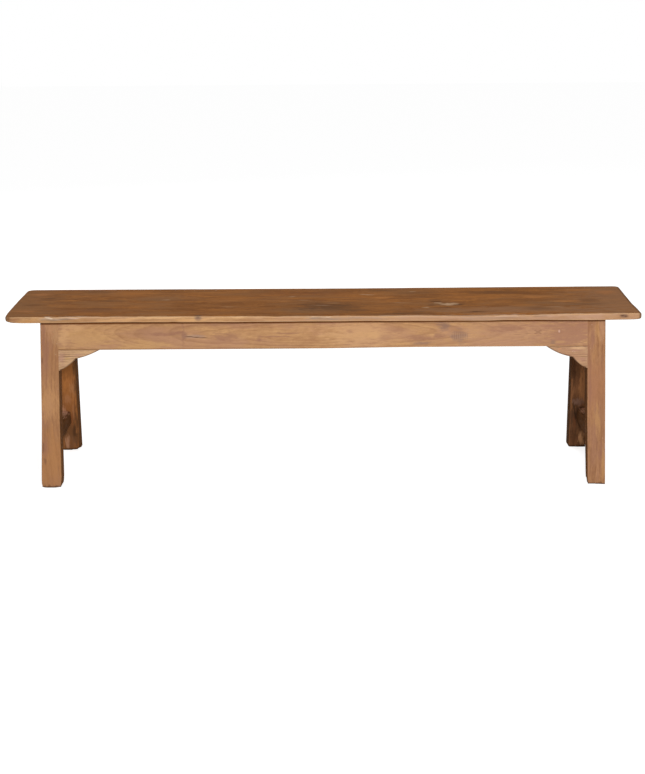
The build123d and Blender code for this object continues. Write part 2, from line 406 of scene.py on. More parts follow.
def teak(name, tones, pith, cut=0.0, knots=(), marks=(), crisp=(), facing=None, light=1.0, rubbed=None,
         contrast=0.8, line=0.5, ring_width=0.004, sweep=0.03, wave=0.003, wear=0.5, roughness=0.80,
         built=True, turn=0.0):
    material, tree, shader = new_material(name)
    rubbed = tone(*(rubbed or tones[0]))
    tones = [tone(*each) for each in tones]
    shift = Vector((cut, 0, 0))
    if built:
        place = attribute(tree, "grain", "Vector")
    else:
        place = put("TexCoord", {}, tree).outputs["Object"]
        place = put("VectorRotate", {"Vector": place, "Angle": turn}).outputs[0]
    grain = vectors("ADD", place, shift)
    fibres = place_group(fibre_group, {"Grain": grain})
    loose = {"Grain": fibres["Wander"], "Streaks": fibres["Broken"]}
    found = []
    pushed = Vector(pith) + shift
    for centre, reach, heart in knots:
        knot = place_group(knot_group, {**loose, "Centre": Vector(centre) + shift, "Reach": reach})
        found.append((knot, heart))
        aside = put("CombineXYZ", {2: times(knot["Push"], reach[1] * 0.8)})
        pushed = vectors("ADD", pushed, aside.outputs[0])
    log = {"Grain": grain, "Pith": pushed, "Width": ring_width, "Sweep": sweep, "Wave": wave}
    rings = place_group(rings_group, log)
    colour = ground(tones, rings, fibres, contrast, line)
    swirl_tone = tones[2]
    if facing:
        facing = [tone(*each, light) for each in facing]
        swirl_tone = facing[2]
        share = scaled(fibres["Mottle"], 1.2, -0.6)
        share = plus(attribute(tree, "facing", "Fac"), share)
        other = ground(facing, rings, fibres, FACING_CONTRAST, line)
        colour = mixed(between(share, 0.25, 0.75), colour, other)
    for knot, heart in found:
        colour = mixed(times(knot["Swirl"], SWIRL_STRENGTH), colour, swirl_tone)
        colour = mixed(times(knot["Heart"], heart), colour, tone(*KNOT_HEART))
    colour = painted(colour, marks, shift, loose)
    if built:
        worn = place_group(wear_group, {"Grain": grain, "Breadth": WEAR_BREADTH})["Rubbed"]
        colour = mixed(times(worn, wear), colour, rubbed)
    colour = painted(colour, crisp, shift, {"Grain": grain, "Streaks": 0.0})
    colour = mixed(times(fibres["Pore"], PORE_STRENGTH), colour, tones[2])
    tree.links.new(colour, shader.inputs["Base Color"])
    bump_and_gloss(shader, rings, fibres, roughness)
    print("material", name, len(tree.nodes), "nodes")
    return material


# %% Marks on a face
SHALLOW = 0.012
DEEP = 0.020


def on_face(origin, depth, rows, upright=False):
    """Marks in rows of a tone, a strength and spots: two places and two reaches, in millimetres."""
    found = []
    for spot_tone, strength, *spots in rows:
        for spot in spots:
            u, v, reach_u, reach_v = (length / 1000 for length in spot)
            place, reach = ((u, 0, v), (reach_u, depth, reach_v)) if upright else (
                (u, v, 0), (reach_u, reach_v, depth))
            found.append((Vector(origin) + Vector(place), reach, spot_tone, strength))
    return found


# %% [markdown]
# ## Building a worn board
# Every board starts as a box whose faces are cut into a grid, finer close to the arrises. Each
# point is moved onto a rounded arris, whose radius wanders, then a little inward by slow noise,
# and then by a function to its place on the bench. The grid also carries the wood's own
# coordinates, the distance to the nearest arris, and which points look one chosen way. The
# coordinates are the box's, except where a board was sawn to a curve.

# %% Grid of a box
ARRIS_SHARES = np.array([0.0, 0.3, 0.65, 1.0, 1.6])


def grid_lines(length, arris, step):
    """Where the grid cuts one side of a board, from one end to the other."""
    near = length / 2 - np.minimum(ARRIS_SHARES * arris, length * 0.3)
    count = max(2, round(2 * near[-1] / step))
    middle = np.linspace(-near[-1], near[-1], count + 1)
    return np.unique(np.concatenate([-near, middle, near]).round(7))


def box_grid(lines):
    """The points on the outside of a box, as rows of three, and the quads between them."""
    counts = [len(side) for side in lines]
    index = np.indices(counts).reshape(3, -1).T
    outside = ((index == 0) | (index == np.array(counts) - 1)).any(axis=1)
    number = np.full(counts, -1)
    number[tuple(index[outside].T)] = np.arange(outside.sum())
    points = np.stack([lines[axis][index[outside][:, axis]] for axis in range(3)], axis=1)
    quads = []
    for axis in range(3):
        for end in (0, -1):
            face = np.take(number, end, axis=axis)
            corners = [face[:-1, :-1], face[1:, :-1], face[1:, 1:], face[:-1, 1:]]
            if (end == 0) != (axis == 1):
                corners.reverse()
            quads.append(np.stack(corners, axis=-1).reshape(-1, 4))
    return points, np.concatenate(quads)


def volume(points, quads):
    """Positive where the quads look outward, so it tells when a board was mirrored."""
    a, b, c, d = (points[quads[:, corner]] for corner in range(4))
    return (a * np.cross(b, c) + a * np.cross(c, d)).sum()


def noise_at(points, scale, seed):
    """Smooth noise from -1 to 1 at each point, the same on every run."""
    along, across = scale
    scaled_points = points * np.array((along, across, across))
    return np.array([noise.noise(Vector(p) + Vector((seed, -seed, seed))) for p in scaled_points])


# %% Round, wear and place the board
SKIN = 0.00015
RELIEF = 0.0002
# An arris sharper than this is in a joint, where nothing rubs it
UNWORN = 0.0005
SHARPEST = 0.0001
# How far an arris in a joint is rounded
IN_JOINT = 0.0002


def board(name, size, arris, step, place, seed, dents=(), rounding=None, facing=(0, 0, 1), sawn=None):
    """A worn board. size is along the grain, across it and through it."""
    half = np.array(size) / 2
    lines = [grid_lines(length, arris, pace) for length, pace in zip(size, step)]
    points, quads = box_grid(lines)
    radius = arris * (1 + 0.35 * noise_at(points, (14.0, 40.0), seed))
    if rounding:
        radius = radius + rounding(points)
    radius = np.clip(radius, SHARPEST, half.min() * 0.9)
    core = np.clip(points, radius[:, None] - half, half - radius[:, None])
    out = points - core
    normal = out / np.linalg.norm(out, axis=1)[:, None]
    wave = noise_at(points, (9.0, 26.0), seed + 7)
    depth = SKIN + RELIEF * (0.5 + 0.5 * wave)
    for centre, reach, sunk in dents:
        near = np.linalg.norm((points - np.array(centre)) / np.array(reach), axis=1)
        ragged = 1 + 0.5 * noise_at(points, (160.0, 160.0), seed + 11)
        depth = depth + sunk * np.exp(-near**2) * ragged
    worn = core + normal * radius[:, None] - normal * depth[:, None]
    grain, gaps = points, half - np.abs(points)
    if sawn:
        grain, gaps[:, 1] = sawn(points)
    edge = np.where(radius < UNWORN, 1.0, np.sort(gaps, axis=1)[:, 1])
    toward = np.clip((normal @ np.array(facing) - 0.45) / 0.5, 0, 1)
    placed = place(worn)
    if volume(placed, quads) < 0:
        quads = quads[:, ::-1]
    mesh = bpy.data.meshes.new(name)
    mesh.from_pydata(placed.tolist(), [], quads.tolist())
    for label, kind, field, values in (
        ("grain", "FLOAT_VECTOR", "vector", grain),
        ("edge", "FLOAT", "value", edge), ("facing", "FLOAT", "value", toward),
    ):
        layer = mesh.attributes.new(label, kind, "POINT")
        layer.data.foreach_set(field, values.astype(np.float32).ravel())
    mesh.polygons.foreach_set("use_smooth", [True] * len(quads))
    mesh.update()
    return add_object(name, mesh)


def fit(piece, node, material):
    piece.data.materials.append(material)
    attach(piece, "root")
    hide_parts(node)
    print(piece.name, len(piece.data.polygons), "faces")


# %% [markdown]
# ## Places of the boards
# Each function takes points in a board's own space and puts them on the bench. The legs are cut
# flat at the floor and under the seat, so their points slide along the rake as they go up. The
# back is the front turned by half a turn.

# %% Places
APRON_DROOP = 0.0020


def step_up(value, low, high):
    """A smooth step from 0 to 1 between low and high."""
    share = np.clip((value - low) / (high - low), 0, 1)
    return share * share * (3 - 2 * share)


def at_back(place):
    return lambda points: place(points) * np.array((-1.0, -1.0, 1.0))


def outer_face(height):
    """Y of the legs' and the apron's outer face at a height, at the front."""
    return -half_top - (underside - height) * math.tan(rake)


def half_span(height):
    """From the middle of the bench to the legs' inner face, at a height."""
    return -outer_face(height) - leg_depth / math.cos(rake)


def leg_place(side):
    """Along the leg is up, across it is X, and through it runs from its inside to its face."""

    def place(points):
        height = underside / 2 + points[:, 0]
        x = side * (leg_outer - leg_width / 2) - points[:, 1]
        inward = (leg_depth / 2 - points[:, 2]) / math.cos(rake)
        return np.stack([x, outer_face(height) + inward, height], axis=1)

    return place


def droop(along):
    """How far the apron's lower edge hangs below true, growing to the left."""
    return APRON_DROOP * step_up(-along, -0.25, 0.05)


def leaning(x, up, inward):
    """Points of the front's raked plane: how far up from the seat, and how far behind the face."""
    y = -half_top + up * math.sin(rake) + inward * math.cos(rake)
    z = underside + up * math.cos(rake) - inward * math.sin(rake)
    return np.stack([x, y, z], axis=1)


print(f"front face at y {outer_face(0):.3f} on the floor, {outer_face(underside):.3f} under the seat")

# %% [markdown]
# ## The plank
# The corners of the seat are rounded by hand, its left end bows out, its right end has a shallow
# dent, and its front arris is worn round. The box's corner squares are pressed into quarter
# circles: a point keeps its distance from the corner's centre as the larger of its two steps.
# Sitting has worn the middle a little hollow.

# %% The plank
PLANK_ARRIS = 0.0032
# Plan radius of each corner, by the sign of its X and Y
CORNERS = {(-1, -1): 0.026, (1, -1): 0.013, (-1, 1): 0.021, (1, 1): 0.017}
LEFT_BOW = 0.0015
RIGHT_DENT = 0.004
# Shares of the half length: where an end begins, and how far it goes
END_BEGINS = 0.8
END_REACH = 0.2
RIGHT_MEETING = -0.0455
HOLLOW = 0.0011
FRONT_HOLLOW = 0.0010
HOLLOW_PLACE = 0.05
HOLLOW_REACH = 0.42
FRONT_REACH = 0.018
# How much rounder an arris is than PLANK_ARRIS
MIDDLE_ROUNDER = 0.0012
UNEVEN_ROUNDER = 0.0016
UNDER_ROUNDER = -0.0014
LEFT_CORNER = 0.0030
RIGHT_CORNER_ABOVE = 0.0020
RIGHT_CORNER_BELOW = 0.0042
# Where the front arris is worn down, and where the lower one hangs or rises: the place
# along the plank, the reach and the depth
WORN_ABOVE = ((0.375, 0.075, 0.0042), (0.52, 0.06, 0.0028), (0.29, 0.03, 0.0010), (0.16, 0.08, 0.0014),
              (-0.12, 0.02, 0.0013), (-0.555, 0.015, 0.0014))
UNEVEN_BELOW = ((0.50, 0.35, 0.0006), (-0.52, 0.14, -0.0013), (0.54, 0.035, -0.0013), (0.70, 0.05, 0.0008),
                (0.475, 0.035, -0.0012), (0.10, 0.05, -0.0008), (-0.23, 0.05, 0.0004))
plank_size = (seat_high.x - seat_low.x, seat_high.y - seat_low.y, seat_high.z - seat_low.z)
plank_middle = (seat_low + seat_high) / 2
plank_end = plank_size[0] / 2
front_arris = -plank_size[1] / 2
plank_top = plank_size[2] / 2


def bumps(along, rows):
    return sum(depth * np.exp(-(((along - place) / reach) ** 2)) for place, reach, depth in rows)


def round_corners(points):
    half = np.array(plank_size) / 2
    moved = points.copy()
    for (x_sign, y_sign), radius in CORNERS.items():
        centre = np.array((x_sign, y_sign)) * (half[:2] - radius)
        step = (points[:, :2] - centre) * np.array((x_sign, y_sign))
        inside = (step > 0).all(axis=1)
        reach = np.linalg.norm(step[inside], axis=1)
        share = step[inside].max(axis=1) / reach
        moved[inside, :2] = centre + step[inside] * share[:, None] * np.array((x_sign, y_sign))
    return moved


def plank_place(points):
    moved = round_corners(points)
    half_width = plank_size[1] / 2
    along, across = moved[:, 0].copy(), moved[:, 1]
    bow = LEFT_BOW * (across / half_width) ** 2
    front_part = np.clip((across + half_width) / (RIGHT_MEETING + half_width), 0, 1)
    back_part = np.clip((half_width - across) / (half_width - RIGHT_MEETING), 0, 1)
    dent = RIGHT_DENT * np.where(across < RIGHT_MEETING, front_part, back_part)
    near_end = np.clip((np.abs(along) / plank_end - END_BEGINS) / END_REACH, 0, 1)
    moved[:, 0] += near_end * np.where(along < 0, bow, -dent)
    height_share = moved[:, 2] / plank_size[2] + 0.5
    toward_front = 0.5 - across / plank_size[1]
    hollow = np.exp(-(((along - HOLLOW_PLACE) / HOLLOW_REACH) ** 2)) * (HOLLOW + FRONT_HOLLOW * toward_front)
    at_front = np.exp(-(((across + half_width) / FRONT_REACH) ** 2))
    moved[:, 2] -= height_share * (hollow + at_front * bumps(along, WORN_ABOVE))
    overhang = step_up(-across, half_top + 0.004, half_top + 0.016)
    moved[:, 2] -= (1 - height_share) * overhang * bumps(along, UNEVEN_BELOW)
    return moved + np.array(plank_middle)


def plank_rounding(points):
    """Extra rounding of the front arris on top: most in the middle, and uneven."""
    front = points[:, 1] < front_arris + 0.02
    upper = points[:, 2] > 0
    middle = np.exp(-((points[:, 0] / 0.45) ** 2))
    lengthwise = points * np.array((1, 0, 0))
    uneven = noise_at(lengthwise, (13.0, 1.0), 3.7) + 0.5 * noise_at(lengthwise, (41.0, 1.0), 8.1)
    rounder = MIDDLE_ROUNDER * middle + UNEVEN_ROUNDER * (0.3 + uneven)
    left_corner = step_up(-points[:, 0], plank_end - 0.05, plank_end - 0.015)
    right_corner = step_up(points[:, 0], plank_end - 0.03, plank_end - 0.008)
    near_front = step_up(-points[:, 1], -front_arris - 0.07, -front_arris - 0.02)
    lower = UNDER_ROUNDER + near_front * (LEFT_CORNER * left_corner + RIGHT_CORNER_BELOW * right_corner)
    corners = near_front * (LEFT_CORNER * left_corner + RIGHT_CORNER_ABOVE * right_corner)
    return np.where(upper, np.where(front, rounder, 0.0) + corners, lower)


# %% Build the plank
# Centre, reach and depth of each chip and dent
plank_dents = (
    ((-0.699, front_arris, plank_top), (0.020, 0.006, 0.008), 0.0022),
    ((-0.664, front_arris, 0.0), (0.030, 0.004, 0.006), 0.0010),
    ((-0.010, front_arris, plank_top), (0.045, 0.005, 0.007), 0.0014),
    ((0.480, front_arris, plank_top), (0.060, 0.004, 0.006), 0.0010),
    ((0.322, -0.035, plank_top), (0.030, 0.018, 0.010), 0.0008),
    ((-0.380, front_arris, -plank_top), (0.012, 0.004, 0.006), 0.0012),
    ((-plank_end, front_arris, -plank_top), (0.030, 0.030, 0.010), 0.0014),
)
plank = board("plank", plank_size, PLANK_ARRIS, (0.006, 0.008, 0.004), plank_place, 1.3,
              dents=plank_dents, rounding=plank_rounding)
print("plank", [round(length, 3) for length in plank_size], "m,", len(plank_dents), "dents")

# %% [markdown]
# ## The plank's finish
# A brown top with amber and dark streaks, a pale worn knot right of the middle, and edges where
# the honey wood shows through. The tones of the top are brighter here than in the photograph,
# where less light falls.

# %% The plank's tones
HONEY = (206, 160, 112)
TAN = (184, 138, 96)
RUSSET = (144, 100, 70)
ROSE = (192, 148, 118)
AMBER = (184, 120, 64)
CHESTNUT = (142, 92, 52)
SADDLE = (158, 110, 70)
UMBER = (92, 62, 42)
ASH = (146, 108, 76)
BONE = (206, 168, 132)
EDGE_HIGHLIGHT = (204, 166, 136)
SLATE = (136, 112, 96)
print("ground tones of the plank:", HONEY, TAN, RUSSET, ROSE)

# %% The plank's marks, as X and Y on top, and as X and height above the middle on the edge
top_marks = on_face((0, 0, plank_top), SHALLOW, (
    (ASH, 0.5, (-431, 52, 90, 50), (-709, -123, 60, 30), (620, -50, 130, 40), (-20, -100, 140, 50),
     (-800, 0, 120, 300), (310, -110, 70, 40), (322, -40, 60, 30)),
    ((166, 124, 92), 0.6, (800, 0, 190, 400), (500, -120, 300, 50)),
    (AMBER, 0.5, (-518, 100, 90, 50), (-246, 45, 90, 60), (-56, -60, 60, 18), (106, 80, 80, 30),
     (128, -75, 100, 40), (442, 55, 120, 42), (683, 125, 70, 18), (-300, 120, 100, 20), (520, -60, 50, 20)),
    ((200, 134, 78), 0.6, (580, 40, 85, 22), (640, -20, 45, 14), (160, 46, 30, 16), (-100, 8, 16, 7)),
    ((104, 74, 52), 0.5, (-593, -85, 55, 20), (-619, 140, 60, 16), (30, -70, 130, 75), (4, -55, 110, 50),
     (234, -145, 80, 20), (298, 10, 28, 14), (395, -140, 40, 12), (460, 100, 100, 30), (170, -155, 110, 14),
     (90, -110, 60, 12)),
    ((118, 86, 60), 0.45, (250, 100, 90, 22), (150, 140, 80, 12), (565, -110, 45, 30), (690, -60, 60, 16),
     (-560, 20, 60, 14)),
    ((138, 88, 56), 0.4, (-40, 110, 170, 50), (-600, -105, 140, 45)),
    ((116, 78, 48), 0.5, (-760, -30, 40, 18), (-735, 55, 40, 18), (705, -10, 35, 35)),
    ((192, 126, 76), 0.5, (-765, 108, 35, 20), (-770, -105, 35, 14), (765, 90, 35, 32), (700, 130, 50, 16)),
    (UMBER, 0.75, (357.4, -50, 17, 10), (284, -54, 14, 9), (324, -82, 30, 8), (300, -12, 20, 8),
     (395, -137, 20, 5)),
    (BONE, 0.6, (-79, 65, 14, 6), (108, 90, 14, 6), (126, 81, 16, 6), (266.3, -83, 14, 7), (-420, 30, 10, 5),
     (240, 120, 12, 5)),
    (BONE, 0.85, (307, -28, 13, 10), (318, -44, 13, 14), (332, -48, 14, 17), (345, -38, 14, 15),
     (331, -34, 6, 10)),
    (BONE, 0.3, (-4, -47, 34, 6), (30, -20, 30, 6), (-50, 20, 30, 5), (200, -20, 30, 6), (-250, -60, 30, 6),
     (600, -90, 40, 8)),
))
edge_face = (0, front_arris, 0)
edge_marks = on_face(edge_face, SHALLOW, (
    # Painted highlight along the top of the front edge
    (EDGE_HIGHLIGHT, 0.6, (350, 6.5, 550, 6), (-600, 7, 120, 4)),
    ((186, 146, 120), 0.5, (420, 0, 500, 14)),
    ((196, 142, 88), 0.6, (-420, -5.5, 200, 4.5), (-755, -4, 40, 5), (100, -4, 90, 4.5)),
    ((196, 168, 144), 0.7, (-690, 3.5, 40, 6), (-4, 5, 45, 6), (-650, 7, 40, 3)),
    ((232, 208, 182), 0.9, (-699, 6.4, 11, 4), (-696, 4, 7, 3), (-20, 6.6, 10, 2.5), (16, 6.2, 10, 2.5)),
    # Painted highlight: a thin pale line where the top meets the front edge
    ((212, 176, 150), 0.8, (470, 6.2, 50, 3), (-634, 6.2, 35, 2.5)),
    (SLATE, 0.6, (-696, -1, 26, 4.2), (-655, 1.5, 22, 2.6)),
    (SLATE, 0.8, (-318, 7, 14, 10), (-10, 1.5, 22, 2.6), (14, -0.6, 20, 2.6), (560, 5, 30, 3)),
    ((170, 122, 86), 0.7, (-790, 2, 30, 6), (-196, -4, 50, 6), (700, 1, 40, 8), (330, -6, 50, 4),
     (765, 1, 22, 8), (480, -5, 60, 5)),
    ((172, 142, 120), 0.5, (65, 0, 110, 10), (440, -1, 110, 7), (0, -3, 50, 5)),
    ((208, 168, 142), 0.5, (690, 1, 55, 10), (580, 4, 50, 5)),
    ((222, 172, 120), 0.6, (-530, -1, 70, 7), (-330, -2, 60, 6)),
    ((228, 182, 132), 0.7, (-408, 5.5, 90, 5), (-220, 5.5, 60, 4)),
), upright=True)
plank_scars_and_shade = [((plank_end, 0, 0), (0.009, 5.0, 5.0), UMBER, 0.7),
               ((-plank_end, 0, 0), (0.005, 5.0, 5.0), UMBER, 0.3)]
plank_scars_and_shade += on_face(edge_face, SHALLOW, (
    # Painted shade along the plank's lower front arris, under its overhang
    ((124, 76, 42), 0.5, (0, -1000 * plank_top, 5000, 1.5)),
    ((136, 106, 88), 0.8, (767, 1.8, 14, 6.6)),
    ((146, 100, 64), 0.7, (-808, 5, 14, 8)),
    ((146, 114, 96), 0.7, (-316.5, 1.5, 11, 8.5)),
    ((96, 68, 52), 0.7, (763, 2.6, 7, 3), (772, 0.8, 6, 2.4)),
    ((112, 84, 70), 0.4, (-318, 5, 6, 3)),
    ((158, 118, 92), 0.6, (470, 0.8, 50, 1.4), (555, 3, 30, 1.2)),
), upright=True)
plank_scars_and_shade += on_face((0, 0, plank_top), SHALLOW, (((104, 76, 60), 0.5, (-318, -166, 13, 12)),))
plank_wood = teak(
    "plank_teak", (HONEY, TAN, RUSSET, ROSE), (0.0, 0.05, -0.10), cut=0.4,
    knots=(((0.322, -0.035, plank_top), (0.050, 0.030, 0.03), 0.0),),
    marks=top_marks + edge_marks, crisp=plank_scars_and_shade, facing=(AMBER, CHESTNUT, UMBER, SADDLE),
    rubbed=(222, 180, 136), ring_width=0.006, sweep=0.05, wear=0.6, roughness=0.85,
)
fit(plank, "seat_plank", plank_wood)

# %% [markdown]
# ## Legs
# The front legs are honey brown with rosy streaks. The back legs kept more of an old dark finish.
# Every face that looks inward has darker tones, which are painted shade. The left front leg flares
# at its foot, and the right one is worn narrow there.

# %% Shapes of the legs
LEG_ARRIS = 0.0016
FLARE_HEIGHT = 0.20


def leg_shape(side, outward, inward):
    """The place of a leg whose foot stands out by so much on its outer and inner side."""
    straight = leg_place(side)

    def place(points):
        placed = straight(points)
        low = 1 - step_up(placed[:, 2], 0.0, FLARE_HEIGHT)
        to_outside = 0.5 - side * points[:, 1] / leg_width
        placed[:, 0] += side * low * (to_outside * outward - (1 - to_outside) * inward)
        return placed

    return place


def leg_rounding(side, worn, worn_foot):
    """Beside the apron the arris stays sharp, and the one under the seat is worn round."""

    def rounding(points):
        inner = side * points[:, 1] > 0
        beside_apron = points[:, 0] > apron_low.z - 0.05 - underside / 2
        sharp = inner & (points[:, 2] > 0) & beside_apron
        low = 1 - step_up(points[:, 0] + underside / 2, 0.0, FLARE_HEIGHT)
        under_seat = worn + worn_foot * low
        return np.where(sharp, IN_JOINT - LEG_ARRIS, np.where(inner & (points[:, 2] < 0), under_seat, 0.0))

    return rounding


# %% Finishes of the legs
# Painted shadow: the dark line that the seat's overhang casts on the tops of the aprons and legs
SEAT_SHADE = (128, 76, 38)
leg_blush = (158, 112, 90)
leg_ochre = (194, 146, 96)
front_tones = ((190, 140, 96), (156, 110, 78), (118, 80, 56), (168, 122, 96))
# Painted shade: the darker tones of the faces of the legs that look inward
inner_face_shade = ((112, 73, 41), (88, 57, 33), (62, 41, 26), (98, 63, 36))
leg_tones = {
    "front_left": front_tones,
    "front_right": front_tones,
    "back_left": ((178, 114, 62), (144, 92, 52), (96, 62, 40), (140, 90, 54)),
    "back_right": ((156, 106, 68), (124, 82, 54), (80, 54, 40), (112, 74, 50)),
}
# Marks as height, place across, and the reaches: on the outer face of a front leg, and on
# the inner face of a back leg
leg_marks = {
    "front_left": (
        ((198, 150, 112), 0.7, (415, 0, 40, 50)),
        ((184, 128, 80), 0.5, (70, 0, 110, 50)),
        (leg_blush, 0.6, (340, 10, 70, 12), (105, 14, 35, 8), (400, 16, 50, 6)),
        ((206, 154, 104), 0.55, (220, 4, 60, 35)),
        ((188, 146, 106), 0.5, (400, -18, 60, 16)),
        ((128, 90, 66), 0.6, (110, 19, 20, 4), (70, 16, 12, 4), (330, 19, 12, 3)),
    ),
    "front_right": (
        ((176, 122, 86), 0.5, (250, 0, 80, 50)),
        ((180, 134, 102), 0.5, (385, 10, 60, 12)),
        ((152, 108, 78), 0.35, (170, -12, 120, 14), (415, 14, 20, 12)),
        ((196, 150, 116), 0.6, (405, -14, 50, 10)),
        (leg_blush, 0.6, (370, 10, 30, 6), (250, 16, 70, 6), (160, 2, 60, 6), (85, -12, 35, 10)),
        (leg_ochre, 0.6, (60, -18, 70, 5), (400, -4, 30, 10), (170, -2, 50, 10)),
    ),
    "back_left": (
        ((184, 118, 64), 0.7, (240, -4, 120, 20)),
        # Painted shadow under the bracket at the top of the face
        ((134, 84, 44), 0.7, (236, -2, 28, 40)),
        ((184, 128, 84), 0.5, (182, 12, 26, 12)),
        ((112, 74, 46), 0.9, (50, 0, 85, 60)),
        ((82, 54, 34), 0.8, (45, 12, 40, 8), (60, -16, 20, 8)),
        ((138, 94, 64), 0.5, (26, 8, 22, 10)),
        # Painted shade: a dark strip along the arris toward the inward side face
        ((92, 62, 38), 0.85, (300, 23.5, 300, 10)),
        ((172, 116, 76), 0.7, (112, 10, 30, 4), (150, -4, 16, 16)),
        ((150, 88, 48), 0.6, (92, 5.5, 26, 4)),
        # The spot at the foot is a painted pool of light that falls in under the stretcher
        ((180, 130, 98), 0.85, (26, -10, 24, 8.5), (115, -16, 20, 10)),
    ),
    "back_right": (
        ((206, 140, 90), 0.85, (170, 11, 90, 14)),
        ((72, 46, 30), 0.75, (130, -12, 34, 12), (215, -16, 40, 10)),
        ((76, 54, 40), 0.7, (85, 0, 50, 50)),
        ((150, 114, 96), 0.7, (134, 4, 12, 30)),
        ((112, 78, 58), 0.5, (112, 12, 18, 14)),
        ((76, 47, 30), 0.5, (30, -12, 45, 12)),
        ((130, 80, 50), 0.6, (70, -9, 26, 7)),
        ((58, 38, 26), 0.7, (95, -7, 14, 3)),
        # Painted pool of light that falls in under the stretcher at the foot
        ((228, 166, 116), 0.95, (26, 12, 32, 8.5)),
    ),
}
leg_flecks = {
    "front_left": ((372, -19, 1.6, 1), (345, -16, 1.2, 1), (255, -20, 1.4, 0.9)),
    "front_right": ((412, 12, 1.8, 1.2), (398, 4, 1.4, 1), (424, -10, 1.4, 1.2), (377, -18, 1.6, 1),
        (352, 16, 1.4, 1), (120, -16, 1.6, 1), (86, -18, 1.4, 0.9)),
}


def on_leg(face, *rows):
    """On the outer face (1) or the inner face (-1)."""
    return on_face((-underside / 2, 0, face * leg_depth / 2), DEEP, rows)


print("marks:", {name: sum(len(row) - 2 for row in rows) for name, rows in leg_marks.items()})

# %% Build the legs
# For each leg: the side it was built on, how far the foot stands out, the wear of its
# inner arris and how much more of that at the foot, how strong its streaks are, how light
# the painted shade on its inward faces is, and the seed. The back legs are the front ones of
# the other side, turned.
leg_rows = {
    "front_left": (-1, 0.0030, 0.0022, 0.0, 0.0, 0.45, 1.5, 2.1),
    "front_right": (1, 0.0, -0.0010, 0.0, 0.0120, 1.15, 1.6, 5.4),
    "back_left": (1, 0.0, 0.0, 0.0040, 0.0, 0.7, 1.35, 7.7),
    "back_right": (-1, 0.0, 0.0, 0.0015, 0.0, 0.5, 0.75, 3.2),
}
leg_size = (underside, leg_width, leg_depth)
foot = -underside / 2
nicks = {
    "front_left": (((foot, leg_width / 2, leg_depth / 2), (0.010, 0.006, 0.012), 0.0022),
                   ((foot, -leg_width / 2, leg_depth / 2), (0.011, 0.008, 0.050), 0.0034)),
    "front_right": (((foot, leg_width / 2, leg_depth / 2), (0.010, 0.030, 0.050), 0.0030),),
    "back_left": (((foot, leg_width / 2, -leg_depth / 2), (0.019, 0.006, 0.016), 0.0056),),
    "back_right": (((foot, -leg_width / 2, -leg_depth / 2), (0.010, 0.006, 0.016), 0.0004),),
}
for name, (side, outward, inward, worn, worn_foot, contrast, light, seed) in leg_rows.items():
    front = name.startswith("front")
    place = leg_shape(side, outward, inward)
    leg = board(f"{name}_leg_wood", leg_size, LEG_ARRIS, (0.008, 0.005, 0.006),
                place if front else at_back(place), seed, dents=nicks[name],
                rounding=leg_rounding(side, worn, worn_foot), facing=(0, side, 0))
    shown = on_leg(1 if front else -1, *leg_marks[name])
    # Darker along the bottom of the foot
    darker_foot = on_leg(1, ((96, 66, 48), 0.6, (1, 0, 6, 100)))
    # Painted shadow of the seat's overhang at the top of the leg, pale flecks, and a darker line along the
    # bottom of the foot
    lines = on_leg(1, (SEAT_SHADE, 0.9, (1000 * underside - 8.5, 0, 5.2, 200)),
                   ((214, 184, 160), 0.5, *leg_flecks.get(name, ())),
                   ((70, 48, 36), 0.75, (0, 0, 5.5, 200)))
    # A darker line along the bottom of the foot on the inner face
    back_line = on_leg(-1, ((58, 40, 28), 0.75, (0, 0, 8, 200)))
    wood = teak(f"{name}_leg_teak", leg_tones[name], (0.05, side * 0.05, -0.06), cut=seed,
                facing=inner_face_shade, light=light, marks=shown + darker_foot, crisp=lines + back_line,
                ring_width=0.0055, sweep=0.1, line=0.3, contrast=contrast, wear=0.2)
    fit(leg, f"{name}_leg", wood)

# %% [markdown]
# ## Aprons
# The front apron was cut flat beside the pith, so its face has long arches that close into a
# lens. Its ends run a hair into the legs, so the joint is only a fine line.

# %% Aprons
APRON_ARRIS = 0.0008
JOINT_TUCK = 0.0008
apron_thickness = 0.022
apron_height = (underside - apron_low.z - apron_thickness * math.sin(rake)) / math.cos(rake)
apron_size = (2 * leg_inner + 2 * JOINT_TUCK, apron_height, apron_thickness)
apron_face = (0, 0, apron_thickness / 2)
apron_tones = ((210, 164, 114), (176, 130, 92), (138, 98, 74), (184, 138, 108))
apron_rose = (158, 114, 92)
apron_grey = (144, 114, 98)
# Painted shade along the apron's lower arris
low_shade = (136, 94, 62)
hatching = [(330 + 5.6 * row, -10, 1.6, 11 + 2 * (row % 3)) for row in range(8)]
cross = [(553.5 + 7.2 * step, -0.8 + 4.2 * step * way, 4, 1.6)
         for step in (-1.0, -0.5, 0.5, 1.0) for way in (-1, 1)]
